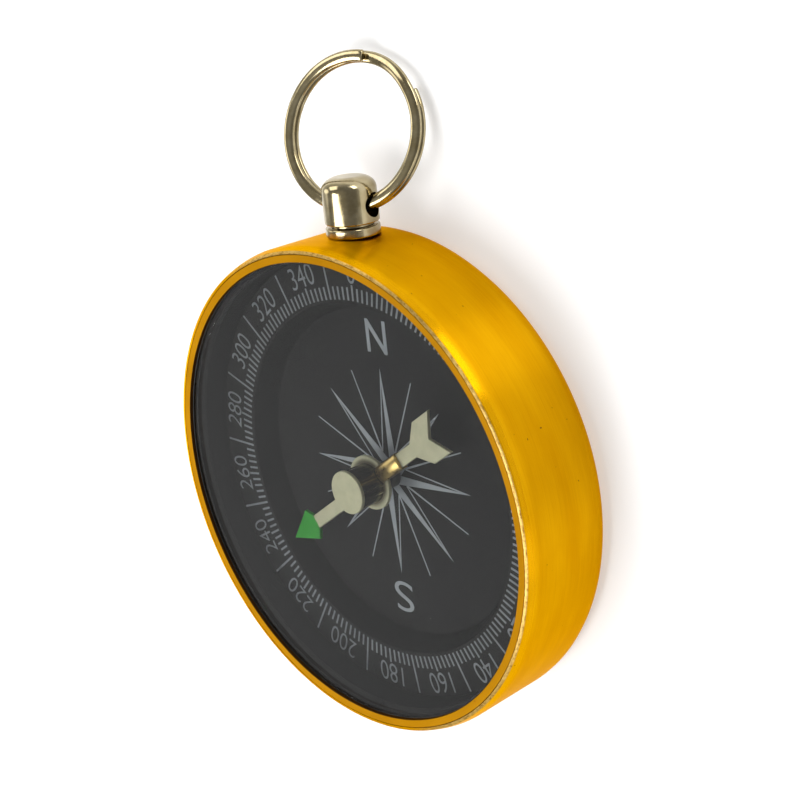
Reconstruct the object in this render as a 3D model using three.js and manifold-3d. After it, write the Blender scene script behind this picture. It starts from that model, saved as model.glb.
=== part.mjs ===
// Pocket compass on a split key ring, lying on its back with the dial up.
// Millimetres. The origin is the middle of the flat back, +Z is out of the dial and
// +Y runs from the dial's centre to the bow at the twelve o'clock of the case.

import * as THREE from 'three';
import { mergeVertices } from 'three/addons/utils/BufferGeometryUtils.js';
import Module from 'manifold-3d';

const wasm = await Module();
wasm.setup();

// Case cup
const caseRadius = 22;
const caseHeight = 10.2;
const wallThickness = 1.05;
const backThickness = 1;
const backCornerRadius = 2;
const innerCornerRadius = 1;
const mouthChamfer = 0.15;

// Bezel ring pressed into the mouth of the cup
const bezelBand = 1.3;
const bezelDepth = 1.3;
const bezelFall = 0.08;
const mouthLip = 0.3;

// Crystal and the gasket that holds it
const crystalThickness = 0.8;
const crystalDrop = 0.45;
const crystalChamfer = 0.12;
const gasketLedgeWidth = 0.28;
const gasketLedgeHeight = 1;

// Stepped dial: a sunk floor for the star and a raised ring for the degree scale
const dialFloorRadius = 15.3;
const dialDepth = 4.65;
const dialStepRun = 0.9;
const scaleDepth = 2.35;
const dialThickness = 0.35;

// Moulded spacer that carries the dial on a ledge and the gasket on its rim
const spacerWall = 0.5;
const spacerLedge = 1.4;

// Pivot riveted into the dial
const pinRadius = 0.3;
const pinPointLength = 0.9;
const bossRadius = 1.25;
const bossHeight = 0.8;
const bossChamfer = 0.3;
const bossShankRadius = 0.75;
const bossFootRadius = 1.6;
const bossFootThickness = 0.4;

// Needle, its outline measured from the pivot along the blade
const needleBearing = 235;
const needleLift = 2.3;
const bladeThickness = 0.35;
const armHalfWidth = 0.63;
const hubRadius = 2.5;
const arrowTip = 14.1;
const arrowBarb = 10.6;
const arrowHalfWidth = 1.5;
const arrowRoot = 9.8;
const tailRoot = 7.35;
const tailShoulder = 9;
const tailTip = 11.45;
const tailNotch = 9.85;
const tailHalfWidth = 2;
const capRadius = 1.85;
const capBoreRadius = 0.9;
const capSpigotRadius = 1.4;
const capSpigotLength = 0.5;
const capRoof = 0.4;
const capDiscRadius = 1.97;
const capDiscThickness = 0.3;
const capDiscBevel = 0.06;
const jewelThickness = 0.7;
const jewelRecess = 0.35;
const sleeveLength = 3.2;
const sleeveWall = 0.15;
const sleeveCrown = 0.5;

// Bow: ferrule, knob, stem and washer on the rim of the case
const bowHeight = 4.9;
const bowSwivel = 16;
const ferruleRadius = 2.32;
const ferruleThickness = 0.8;
const ferruleEdge = 0.12;
const ferruleSleeveRadius = 1.3;
const bushRadius = 2.33;
const bushNeckRadius = 1.8;
const bushNeckHeight = 0.22;
const bushBottomChamfer = 0.14;
const bushDomeHeight = 1.07;
const bushCrownRadius = 0.9;
const bushCrownWeb = 1.36;
const bushFloorWeb = 0.25;
const screwRadius = 0.75;
const screwGrip = 0.4;
const screwHeadRadius = 1.2;
const screwHeadThickness = 0.2;
const washerRadius = 1.6;
const washerThickness = 0.15;

// Split ring: two turns of flat wire with one cross-over
const ringMeanRadius = 6.2;
const wireWidth = 1.05;
const wireThickness = 0.5;
const turnGap = 0.46;
const ringTilt = -16;
const ringStartAngle = 82;
const ringCrossAngle = 60;

// Clearances
const pressGap = 0.05;
const runningGap = 0.05;
const seatGap = 0.05;
const capHeadroom = 0.3;
const pinTipGap = 0.06;
const ringClearance = 0.15;
const notchMargin = 0.3;

// Facets
const wideSides = 72;
const smallSides = 32;
const fineSides = 20;
const cornerSteps = 4;
const domeSteps = 5;
const ringStepsPerTurn = 24;

const radians = THREE.MathUtils.degToRad;

// Levels of the stack under the crystal, worked out from the front of the case down
const caseInnerRadius = caseRadius - wallThickness;
const bezelSeatRadius = caseRadius - mouthLip;
const bezelSeatLevel = caseHeight - bezelDepth;
const windowRadius = caseRadius - bezelBand;
const crystalTop = caseHeight - crystalDrop;
const crystalBottom = crystalTop - crystalThickness;
const crystalRadius = windowRadius - pressGap;
const gasketOuterRadius = caseInnerRadius - pressGap;
const gasketLedgeRadius = crystalRadius - gasketLedgeWidth;
const spacerTop = crystalBottom - gasketLedgeHeight;
const dialFloorLevel = spacerTop - dialDepth;
const scaleLevel = spacerTop - scaleDepth;
const scaleInnerRadius = dialFloorRadius + dialStepRun;
const spacerBore = gasketOuterRadius - spacerWall;
const dialRadius = spacerBore - pressGap;
const bladeBottom = dialFloorLevel + needleLift;
const bladeTop = bladeBottom + bladeThickness;
const capDiscTop = crystalBottom - capHeadroom;
const capTop = capDiscTop - capDiscThickness;
const jewelTop = capTop - capRoof;
const jewelBottom = jewelTop - jewelThickness;
const pinTip = jewelBottom + jewelRecess - pinTipGap;

// Levels of the bow along +Y, from the washer inside the case out to the knob's crown
const washerTop = Math.sqrt(caseInnerRadius ** 2 - washerRadius ** 2) - seatGap;
const washerBottom = washerTop - washerThickness;
const ferruleBottom = caseRadius + seatGap;
const ferruleTop = ferruleBottom + ferruleThickness;
const bushBottom = ferruleTop + runningGap;

// The ring's curve rises through the knob, so the cross hole clears the wire at its middle and its mouths
const ringRise = ringMeanRadius - Math.sqrt(ringMeanRadius ** 2 - bushRadius ** 2);
const turnPitch = wireThickness + turnGap;
const wireEdgeReach = Math.hypot((wireWidth + ringRise) / 2, turnPitch / 2);
const wireFaceReach = Math.hypot(wireWidth / 4 + ringRise / 2, turnPitch / 2 + wireThickness / 2);
const crossHoleRadius = Math.max(wireEdgeReach, wireFaceReach) + ringClearance;
const crossHoleLevel = bushBottom + screwGrip + bushFloorWeb + crossHoleRadius;
const bushTop = crossHoleLevel + crossHoleRadius + bushCrownWeb;

// A geometry with its shared corners joined and its empty triangles left out
function weld(geometry) {
  geometry.deleteAttribute('normal');
  geometry.deleteAttribute('uv');
  const welded = mergeVertices(geometry, 1e-5);
  const corners = welded.index.array;
  const kept = [];
  for (let i = 0; i < corners.length; i += 3) {
    const [a, b, c] = [corners[i], corners[i + 1], corners[i + 2]];
    if (a !== b && b !== c && c !== a) kept.push(a, b, c);
  }
  welded.setIndex(kept);
  return welded;
}

// A turned piece about +Y from a profile of [radius, level] pairs
function turned(profile, sides) {
  const points = profile.map(([radius, level]) => new THREE.Vector2(radius, level));
  return weld(new THREE.LatheGeometry(points, sides));
}

// A turned ring, whose profile closes on itself
function turnedRing(profile, sides) {
  return turned([...profile, profile[0]], sides);
}

// Stands a piece that was turned about +Y upright, on +Z
function upright(geometry) {
  return geometry.rotateX(Math.PI / 2);
}

// Points on an elliptical arc in a profile, angles in degrees
function arc(centre, reach, from, to, steps) {
  const points = [];
  for (let i = 0; i <= steps; i += 1) {
    const angle = radians(from + ((to - from) * i) / steps);
    points.push([centre[0] + reach[0] * Math.cos(angle), centre[1] + reach[1] * Math.sin(angle)]);
  }
  return points;
}

// A closed geometry as a solid for cutting, and back
function solidOf(geometry) {
  const vertProperties = new Float32Array(geometry.attributes.position.array);
  const triVerts = new Uint32Array(geometry.index.array);
  return new wasm.Manifold(new wasm.Mesh({ numProp: 3, vertProperties, triVerts }));
}

function geometryOf(solid) {
  const mesh = solid.getMesh();
  const geometry = new THREE.BufferGeometry();
  geometry.setAttribute('position', new THREE.BufferAttribute(mesh.vertProperties, 3));
  geometry.setIndex(Array.from(mesh.triVerts));
  return geometry;
}

function cut(geometry, ...tools) {
  const result = tools.reduce((solid, tool) => solid.subtract(solidOf(tool)), solidOf(geometry));
  return geometryOf(result);
}

function extruded(shape, depth, curveSegments) {
  return weld(new THREE.ExtrudeGeometry(shape, { depth, bevelEnabled: false, curveSegments }));
}

const finishes = {
  gold: new THREE.MeshStandardMaterial({ color: 0xd99a1c, roughness: 0.32, metalness: 1 }),
  acrylic: new THREE.MeshStandardMaterial({
    color: 0xf2f6f6, roughness: 0.04, metalness: 0, transparent: true, opacity: 0.2,
  }),
  rubber: new THREE.MeshStandardMaterial({ color: 0x121212, roughness: 0.25, metalness: 0 }),
  dial: new THREE.MeshStandardMaterial({ color: 0x333436, roughness: 0.5, metalness: 0 }),
  plastic: new THREE.MeshStandardMaterial({ color: 0x1b1b1c, roughness: 0.6, metalness: 0 }),
  brass: new THREE.MeshStandardMaterial({ color: 0x8a6a35, roughness: 0.3, metalness: 1 }),
  steel: new THREE.MeshStandardMaterial({ color: 0xb8babd, roughness: 0.25, metalness: 1 }),
  cream: new THREE.MeshStandardMaterial({ color: 0xc8c39a, roughness: 0.5, metalness: 0 }),
  jewel: new THREE.MeshStandardMaterial({ color: 0x9c2f45, roughness: 0.1, metalness: 0 }),
  nickel: new THREE.MeshStandardMaterial({ color: 0xc9c5b4, roughness: 0.18, metalness: 1 }),
};

function addPiece(group, name, geometry, finish) {
  const mesh = new THREE.Mesh(geometry, finish);
  mesh.name = name;
  group.add(mesh);
}

// Cup with a rounded back edge, a step in its mouth for the bezel and a hole for the ferrule
function caseCup() {
  const corner = caseRadius - backCornerRadius;
  const inside = caseInnerRadius - innerCornerRadius;
  const floor = backThickness + innerCornerRadius;
  const cup = upright(turned([
    [0, 0],
    ...arc([corner, backCornerRadius], [backCornerRadius, backCornerRadius], -90, 0, cornerSteps),
    [caseRadius, caseHeight - mouthChamfer],
    [caseRadius - mouthChamfer, caseHeight],
    [bezelSeatRadius, caseHeight],
    [bezelSeatRadius, bezelSeatLevel],
    [caseInnerRadius, bezelSeatLevel],
    ...arc([inside, floor], [innerCornerRadius, innerCornerRadius], 0, -90, cornerSteps),
    [0, backThickness],
  ], wideSides));
  const holeRadius = ferruleSleeveRadius + pressGap;
  const drill = weld(new THREE.CylinderGeometry(holeRadius, holeRadius, 2 * wallThickness, smallSides));
  drill.translate(0, caseRadius - wallThickness / 2, 0);
  drill.translate(0, 0, bowHeight);
  return cut(cup, drill);
}

// Ring with a skirt on the cup's step and a lip that falls away towards the window
function bezelRing() {
  const outer = bezelSeatRadius - pressGap;
  return upright(turnedRing([
    [windowRadius, crystalTop],
    [caseInnerRadius, crystalTop],
    [caseInnerRadius, bezelSeatLevel],
    [outer, bezelSeatLevel],
    [outer, caseHeight],
    [windowRadius, caseHeight - bezelFall],
  ], wideSides));
}

function crystal() {
  return upright(turned([
    [0, crystalBottom],
    [crystalRadius - crystalChamfer, crystalBottom],
    [crystalRadius, crystalBottom + crystalChamfer],
    [crystalRadius, crystalTop - crystalChamfer],
    [crystalRadius - crystalChamfer, crystalTop],
    [0, crystalTop],
  ], wideSides));
}

// Black ring with a ledge under the crystal and a wall round its edge
function lensGasket() {
  const wallRadius = crystalRadius + pressGap;
  return upright(turnedRing([
    [gasketLedgeRadius, spacerTop],
    [gasketOuterRadius, spacerTop],
    [gasketOuterRadius, crystalTop],
    [wallRadius, crystalTop],
    [wallRadius, crystalBottom],
    [gasketLedgeRadius, crystalBottom],
  ], wideSides));
}

// How far a corner of the sheet's underside lies outside the same corner of its top
function bendOffset(rise, run) {
  return dialThickness * Math.tan(Math.atan2(rise, run) / 2);
}

// Pressed sheet: a floor, a step and the flat ring of the scale, which rests on the spacer's ledge
function dialPan() {
  const bend = bendOffset(scaleLevel - dialFloorLevel, dialStepRun);
  const holeRadius = bossShankRadius + pressGap;
  return upright(turnedRing([
    [holeRadius, dialFloorLevel - dialThickness],
    [dialFloorRadius + bend, dialFloorLevel - dialThickness],
    [scaleInnerRadius + bend, scaleLevel - dialThickness],
    [dialRadius, scaleLevel - dialThickness],
    [dialRadius, scaleLevel],
    [scaleInnerRadius, scaleLevel],
    [dialFloorRadius, dialFloorLevel],
    [holeRadius, dialFloorLevel],
  ], wideSides));
}

// Ring on the floor of the case with a ledge for the dial, a wall up to the gasket and a notch at the stem
function spacerRing() {
  const ledgeRadius = dialRadius - spacerLedge;
  const ledgeLevel = scaleLevel - dialThickness;
  const ring = upright(turnedRing([
    [ledgeRadius, backThickness],
    [caseInnerRadius - innerCornerRadius, backThickness],
    [gasketOuterRadius, backThickness + innerCornerRadius],
    [gasketOuterRadius, spacerTop],
    [spacerBore, spacerTop],
    [spacerBore, ledgeLevel],
    [ledgeRadius, ledgeLevel],
  ], wideSides));
  const notchWidth = 2 * (washerRadius + notchMargin);
  const notchTop = bowHeight + washerRadius + notchMargin;
  const notch = weld(new THREE.BoxGeometry(notchWidth, caseRadius, 2 * notchTop));
  return cut(ring, notch.translate(0, caseRadius / 2, 0));
}

// Boss with a shank through the dial and a foot riveted under it
function pivotBoss() {
  const bore = pinRadius + pressGap;
  const dialBottom = dialFloorLevel - dialThickness;
  const foot = dialBottom - bossFootThickness;
  const top = dialFloorLevel + bossHeight;
  return upright(turnedRing([
    [bore, foot],
    [bossFootRadius, foot],
    [bossFootRadius, dialBottom],
    [bossShankRadius, dialBottom],
    [bossShankRadius, dialFloorLevel],
    [bossRadius, dialFloorLevel],
    [bossRadius, top - bossChamfer],
    [bossRadius - bossChamfer, top],
    [bore, top],
  ], smallSides));
}

function pivotPin() {
  const foot = dialFloorLevel - dialThickness - bossFootThickness;
  return upright(turned([
    [0, foot],
    [pinRadius, foot],
    [pinRadius, pinTip - pinPointLength],
    [0, pinTip],
  ], fineSides));
}

// Plate with an arrow head, a hub ring for the cap and a swallow tail
function needleBlade() {
  const armAngle = Math.asin(armHalfWidth / hubRadius);
  const shape = new THREE.Shape();
  shape.moveTo(arrowTip, 0);
  shape.lineTo(arrowBarb, arrowHalfWidth);
  shape.lineTo(arrowRoot, armHalfWidth);
  shape.absarc(0, 0, hubRadius, armAngle, Math.PI - armAngle, false);
  shape.lineTo(-tailRoot, armHalfWidth);
  shape.lineTo(-tailShoulder, tailHalfWidth);
  shape.lineTo(-tailTip, tailHalfWidth);
  shape.lineTo(-tailNotch, 0);
  shape.lineTo(-tailTip, -tailHalfWidth);
  shape.lineTo(-tailShoulder, -tailHalfWidth);
  shape.lineTo(-tailRoot, -armHalfWidth);
  shape.absarc(0, 0, hubRadius, Math.PI + armAngle, 2 * Math.PI - armAngle, false);
  shape.lineTo(arrowRoot, -armHalfWidth);
  shape.lineTo(arrowBarb, -arrowHalfWidth);
  const hole = new THREE.Path();
  hole.absarc(0, 0, capSpigotRadius + pressGap, 0, 2 * Math.PI, true);
  shape.holes.push(hole);
  return extruded(shape, bladeThickness, smallSides).translate(0, 0, bladeBottom);
}

// Cap with a spigot through the hub ring and a bore for the jewel
function needleCap() {
  const spigotBottom = bladeTop - capSpigotLength;
  return upright(turned([
    [0, jewelTop],
    [capBoreRadius, jewelTop],
    [capBoreRadius, spigotBottom],
    [capSpigotRadius, spigotBottom],
    [capSpigotRadius, bladeTop],
    [capRadius, bladeTop],
    [capRadius, capTop],
    [0, capTop],
  ], smallSides));
}

function capDisc() {
  return upright(turned([
    [0, capTop],
    [capDiscRadius, capTop],
    [capDiscRadius, capDiscTop - capDiscBevel],
    [capDiscRadius - capDiscBevel, capDiscTop],
    [0, capDiscTop],
  ], smallSides));
}

// Bearing cup with a conical recess that sits on the pin's point
function capJewel() {
  const radius = capBoreRadius - pressGap;
  return upright(turned([
    [0, jewelBottom + jewelRecess],
    [radius, jewelBottom],
    [radius, jewelTop],
    [0, jewelTop],
  ], fineSides));
}

// Round-backed sleeve closed round the tail arm, with a tongue over the hub that ends at the cap
function balanceSleeve() {
  const start = capRadius + seatGap;
  const wrapStart = hubRadius + seatGap;
  const inside = armHalfWidth + pressGap;
  const outside = inside + sleeveWall;
  const below = -pressGap;
  const above = bladeThickness + pressGap;
  const shape = new THREE.Shape();
  shape.moveTo(-outside, below - sleeveWall);
  shape.lineTo(outside, below - sleeveWall);
  shape.lineTo(outside, above);
  shape.absellipse(0, above, outside, sleeveCrown, 0, Math.PI, false);
  shape.holes.push(new THREE.Path([
    new THREE.Vector2(-inside, below),
    new THREE.Vector2(-inside, above),
    new THREE.Vector2(inside, above),
    new THREE.Vector2(inside, below),
  ]));
  const sleeve = extruded(shape, sleeveLength, cornerSteps * 2);
  sleeve.rotateX(Math.PI / 2);
  sleeve.rotateZ(-Math.PI / 2);
  sleeve.translate(-start, 0, 0);
  const underTongue = weld(new THREE.BoxGeometry(2 * wrapStart, 3 * outside, 2 * above));
  return cut(sleeve, underTongue).translate(0, 0, bladeBottom);
}

// Collar on the rim with a sleeve pressed through the case wall
function bowFerrule() {
  const bore = screwRadius + runningGap;
  const sleeveEnd = washerTop + runningGap;
  return turnedRing([
    [bore, sleeveEnd],
    [ferruleSleeveRadius, sleeveEnd],
    [ferruleSleeveRadius, ferruleBottom],
    [ferruleRadius, ferruleBottom],
    [ferruleRadius, ferruleTop - ferruleEdge],
    [ferruleRadius - ferruleEdge, ferruleTop],
    [bore, ferruleTop],
  ], smallSides);
}

// Knob with a grooved neck, a domed crown, a cross hole for the ring and a blind hole for the stem
function bowBush() {
  const shoulder = bushTop - bushDomeHeight;
  const domeReach = [bushRadius - bushCrownRadius, bushDomeHeight];
  const knob = turned([
    [0, bushBottom],
    [bushNeckRadius, bushBottom],
    [bushNeckRadius, bushBottom + bushNeckHeight],
    [bushRadius - bushBottomChamfer, bushBottom + bushNeckHeight],
    [bushRadius, bushBottom + bushNeckHeight + bushBottomChamfer],
    ...arc([bushCrownRadius, shoulder], domeReach, 0, 90, domeSteps),
    [0, bushTop],
  ], smallSides);
  const crossDrill = weld(new THREE.CylinderGeometry(
    crossHoleRadius, crossHoleRadius, 3 * bushRadius, fineSides,
  ));
  crossDrill.rotateZ(Math.PI / 2);
  crossDrill.translate(0, crossHoleLevel, 0);
  const stemRadius = screwRadius + pressGap;
  const stemDrill = weld(new THREE.CylinderGeometry(stemRadius, stemRadius, 2 * screwGrip, fineSides));
  stemDrill.translate(0, bushBottom, 0);
  return cut(knob, crossDrill, stemDrill);
}

function bowScrew() {
  const headBottom = washerBottom - screwHeadThickness;
  return turned([
    [0, headBottom],
    [screwHeadRadius, headBottom],
    [screwHeadRadius, washerBottom],
    [screwRadius, washerBottom],
    [screwRadius, bushBottom + screwGrip - seatGap],
    [0, bushBottom + screwGrip - seatGap],
  ], fineSides);
}

function bowWasher() {
  const bore = screwRadius + pressGap;
  return turnedRing([
    [bore, washerBottom],
    [washerRadius, washerBottom],
    [washerRadius, washerTop],
    [bore, washerTop],
  ], fineSides);
}

// Two turns about local +Z. The front turn runs round to the cross-over, which drops to the back turn.
function splitRing() {
  const step = 360 / ringStepsPerTurn;
  const crossStart = ringStartAngle + 360 - ringCrossAngle;
  const crossEnd = ringStartAngle + 360;
  const end = crossEnd + 360 - ringCrossAngle;
  const section = [[1, 0], [0.5, -1], [-0.5, -1], [-1, 0], [-0.5, 1], [0.5, 1]];
  const sides = section.length;
  const positions = [];
  for (let angle = ringStartAngle; angle <= end + step / 2; angle += step) {
    const level = turnPitch * (0.5 - THREE.MathUtils.smoothstep(angle, crossStart, crossEnd));
    for (const [outward, up] of section) {
      const radius = ringMeanRadius + (outward * wireWidth) / 2;
      const turn = radians(angle);
      const height = level + (up * wireThickness) / 2;
      positions.push(radius * Math.cos(turn), radius * Math.sin(turn), height);
    }
  }
  const rows = positions.length / 3 / sides;
  const index = [];
  for (let row = 0; row < rows - 1; row += 1) {
    for (let side = 0; side < sides; side += 1) {
      const next = (side + 1) % sides;
      const [a, b] = [row * sides + side, row * sides + next];
      index.push(a, b, a + sides, b, b + sides, a + sides);
    }
  }
  const last = (rows - 1) * sides;
  for (let side = 1; side < sides - 1; side += 1) {
    index.push(0, side + 1, side);
    index.push(last, last + side, last + side + 1);
  }
  printLeastGap(positions, sides);
  const geometry = new THREE.BufferGeometry();
  geometry.setAttribute('position', new THREE.Float32BufferAttribute(positions, 3));
  geometry.setIndex(index);
  return geometry;
}

// Least distance between points of the wire that are more than half a turn apart
function printLeastGap(positions, sides) {
  const apart = (ringStepsPerTurn / 2) * sides;
  const count = positions.length / 3;
  let least = Infinity;
  for (let i = 0; i < count; i += 1) {
    for (let j = i + apart; j < count; j += 1) {
      const gap = Math.hypot(
        positions[3 * i] - positions[3 * j],
        positions[3 * i + 1] - positions[3 * j + 1],
        positions[3 * i + 2] - positions[3 * j + 2],
      );
      least = Math.min(least, gap);
    }
  }
  console.log(`split ring: least gap between turns ${least.toFixed(3)} mm`);
}

const compass = new THREE.Group();
addPiece(compass, 'case_cup', caseCup(), finishes.gold);
addPiece(compass, 'bezel_ring', bezelRing(), finishes.gold);
addPiece(compass, 'crystal', crystal(), finishes.acrylic);
addPiece(compass, 'lens_gasket', lensGasket(), finishes.rubber);
addPiece(compass, 'dial_pan', dialPan(), finishes.dial);
addPiece(compass, 'spacer_ring', spacerRing(), finishes.plastic);
addPiece(compass, 'pivot_boss', pivotBoss(), finishes.brass);
addPiece(compass, 'pivot_pin', pivotPin(), finishes.steel);

// The blade is drawn along +X and turned to its bearing, which is counted clockwise from +Y
const needle = new THREE.Group();
needle.rotation.z = radians(90 - needleBearing);
addPiece(needle, 'needle_blade', needleBlade(), finishes.cream);
addPiece(needle, 'needle_cap', needleCap(), finishes.brass);
addPiece(needle, 'cap_disc', capDisc(), finishes.cream);
addPiece(needle, 'cap_jewel', capJewel(), finishes.jewel);
addPiece(needle, 'balance_sleeve', balanceSleeve(), finishes.brass);
compass.add(needle);

// The bow's axis is parallel to +Y. The knob and what it carries are swivelled about it.
const bow = new THREE.Group();
bow.position.z = bowHeight;
addPiece(bow, 'bow_ferrule', bowFerrule(), finishes.nickel);
const knob = new THREE.Group();
knob.rotation.y = radians(bowSwivel);
addPiece(knob, 'bow_bush', bowBush(), finishes.nickel);
addPiece(knob, 'bow_screw', bowScrew(), finishes.nickel);
addPiece(knob, 'bow_washer', bowWasher(), finishes.nickel);

// The ring swings about the cross hole, which runs along the knob's own X
const swing = new THREE.Group();
swing.position.y = crossHoleLevel;
swing.rotation.x = radians(ringTilt);
const ring = new THREE.Group();
ring.position.y = ringMeanRadius - ringRise / 2;
addPiece(ring, 'split_ring', splitRing(), finishes.nickel);
swing.add(ring);
knob.add(swing);
bow.add(knob);
compass.add(bow);

export default compass;
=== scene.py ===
import math

import bmesh
import bpy
from mathutils import Euler, Matrix, Vector


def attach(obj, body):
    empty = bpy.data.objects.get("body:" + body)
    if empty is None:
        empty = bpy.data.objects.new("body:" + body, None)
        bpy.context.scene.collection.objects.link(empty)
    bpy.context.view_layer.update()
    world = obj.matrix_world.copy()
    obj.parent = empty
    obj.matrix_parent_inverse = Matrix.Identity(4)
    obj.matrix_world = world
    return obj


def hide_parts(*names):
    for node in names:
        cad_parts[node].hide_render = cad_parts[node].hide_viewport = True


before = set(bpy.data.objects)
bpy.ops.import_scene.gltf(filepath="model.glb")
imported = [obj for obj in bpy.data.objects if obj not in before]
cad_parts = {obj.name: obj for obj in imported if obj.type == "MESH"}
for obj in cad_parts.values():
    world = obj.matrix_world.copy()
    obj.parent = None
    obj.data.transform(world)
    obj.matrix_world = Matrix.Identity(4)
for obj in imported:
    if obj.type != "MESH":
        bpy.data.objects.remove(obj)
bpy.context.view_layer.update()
scene = bpy.context.scene

# Lengths are in millimetres and angles in degrees, apart from the room, which is in metres.
# Bearings run clockwise from twelve o'clock.
MM = 0.001

# Fineness of round shapes
WIDE_SIDES = 288
SMALL_SIDES = 96
FILLET_STEPS = 6
FILLET_MARGIN = 0.2
BEVEL_STEPS = 2
SHARP_ANGLE = 28
SAME_PLACE = 0.0001

# Clearance between pieces that fit into each other
FIT = 0.05

# Case
CASE_RADIUS = 22
CASE_HEIGHT = 10.2
CASE_WALL = 1.05
CASE_INNER_RADIUS = CASE_RADIUS - CASE_WALL
BACK_THICKNESS = 1
BACK_CORNER = 2
INNER_CORNER = 1
MOUTH_BEND_LEVEL = 9.3
MOUTH_BEND = 1.9
MOUTH_SLOPE = 19
MOUTH_DRAW = (CASE_HEIGHT - MOUTH_BEND_LEVEL) * math.tan(math.radians(MOUTH_SLOPE))
LIP_ROUND = 0.22

# Bezel and the seat that it lies in
BEZEL_BAND = 1.3
BEZEL_DEPTH = 1.3
BEZEL_LEVEL = 10.16
BEZEL_ROUND = 0.06
SEAT_RADIUS = 21.45
SEAT_LEVEL = CASE_HEIGHT - BEZEL_DEPTH
BEZEL_RADIUS = SEAT_RADIUS - FIT
WINDOW_RADIUS = CASE_RADIUS - BEZEL_BAND
WINDOW_EDGE_LEVEL = 10.1
WINDOW_EDGE_ROUND = 0.08

# Window and gasket, which grips the window a little
CRYSTAL_DROP = 0.45
CRYSTAL_THICKNESS = 0.8
CRYSTAL_ROUND = 0.05
CRYSTAL_RADIUS = WINDOW_RADIUS - FIT
CRYSTAL_TOP = CASE_HEIGHT - CRYSTAL_DROP
CRYSTAL_BOTTOM = CRYSTAL_TOP - CRYSTAL_THICKNESS
GASKET_GRIP = 0.04
GASKET_SQUEEZE = 0.02
GASKET_LEDGE_WIDTH = 0.28
GASKET_LEDGE_HEIGHT = 1
GASKET_ROUND = 0.07
GASKET_RADIUS = CASE_INNER_RADIUS - FIT
GASKET_WALL_RADIUS = CRYSTAL_RADIUS - GASKET_GRIP
GASKET_LEDGE_RADIUS = CRYSTAL_RADIUS - GASKET_LEDGE_WIDTH
GASKET_LEDGE_TOP = CRYSTAL_BOTTOM + GASKET_SQUEEZE

# Dial and spacer, with depths below the gasket
DIAL_FLOOR_RADIUS = 15.3
DIAL_STEP_RUN = 0.9
DIAL_DEPTH = 4.65
SCALE_DEPTH = 2.35
DIAL_THICKNESS = 0.35
DIAL_BEND = 0.2
SPACER_WALL = 0.5
SPACER_LEDGE = 1.4
NOTCH_MARGIN = 0.3
SPACER_TOP = CRYSTAL_BOTTOM - GASKET_LEDGE_HEIGHT
SPACER_BORE = GASKET_RADIUS - SPACER_WALL
DIAL_RADIUS = SPACER_BORE - FIT
SPACER_LEDGE_RADIUS = DIAL_RADIUS - SPACER_LEDGE
DIAL_FLOOR_LEVEL = SPACER_TOP - DIAL_DEPTH
DIAL_UNDERSIDE = DIAL_FLOOR_LEVEL - DIAL_THICKNESS
SCALE_INNER_RADIUS = DIAL_FLOOR_RADIUS + DIAL_STEP_RUN
SCALE_LEVEL = SPACER_TOP - SCALE_DEPTH
SCALE_UNDERSIDE = SCALE_LEVEL - DIAL_THICKNESS

# Print on the dial. A letter has its bearing, radius, squeeze of its width and stroke.
PRINT_THICKNESS = 0.02
STAR_POINTS = 8
STAR_RADIUS = 9.75
STAR_INNER_RADIUS = 2.1
STAR_LINE = 0.12
RAY_WIDTH = 0.19
RAY_TIP = 0.55
RAY_RADIUS = 9.8
LETTERS = (("N", 0, 12.7, 0.9, 0.004), ("S", 180, 12.15, 1.42, -0.006))
LETTER_HEIGHT = 3
TICK_COUNT = 180
TICK_WIDTH = 0.2
TICK_START = 16.5
TICK_END = 17.65
MEDIUM_TICK_END = 17.9
LONG_TICK_END = 20.2
NUMBER_STEP = 20
NUMBER_RADIUS = 19
NUMBER_HEIGHT = 1.95
NUMBER_SQUEEZE = 0.84
NUMBER_STROKE = -0.008
SCALE_TURN = 0.7

# Needle, with lengths along the blade from the pivot
NEEDLE_BEARING = 235
NEEDLE_LIFT = 2.3
BLADE_THICKNESS = 0.35
BLADE_ROUND = 0.05
BLADE_BOTTOM = DIAL_FLOOR_LEVEL + NEEDLE_LIFT
BLADE_TOP = BLADE_BOTTOM + BLADE_THICKNESS
ARM_HALF_WIDTH = 0.63
HUB_RADIUS = 2.5
HUB_STEPS = 24
ARROW_TIP = 14.1
ARROW_BARB = 10.6
ARROW_HALF_WIDTH = 1.5
ARROW_ROOT = 9.8
TAIL_ROOT = 7.35
TAIL_SHOULDER = 9
TAIL_TIP = 11.45
TAIL_NOTCH = 9.85
TAIL_HALF_WIDTH = 2

# Cap on the needle's hub, its disc and its jewel
CAP_HEADROOM = 0.3
CAP_RADIUS = 1.85
CAP_BORE = 0.9
CAP_ROOF = 0.4
CAP_ROUND = 0.06
CAP_SPIGOT_RADIUS = 1.4
CAP_SPIGOT_LENGTH = 0.5
CAP_SPIGOT_BOTTOM = BLADE_TOP - CAP_SPIGOT_LENGTH
HUB_HOLE_RADIUS = CAP_SPIGOT_RADIUS + FIT
DISC_RADIUS = 1.97
DISC_THICKNESS = 0.3
DISC_ROUND = 0.08
DISC_TOP = CRYSTAL_BOTTOM - CAP_HEADROOM
CAP_TOP = DISC_TOP - DISC_THICKNESS
JEWEL_THICKNESS = 0.7
JEWEL_RECESS = 0.35
JEWEL_ROUND = 0.05
JEWEL_RADIUS = CAP_BORE - FIT
JEWEL_TOP = CAP_TOP - CAP_ROOF
JEWEL_BOTTOM = JEWEL_TOP - JEWEL_THICKNESS

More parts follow.
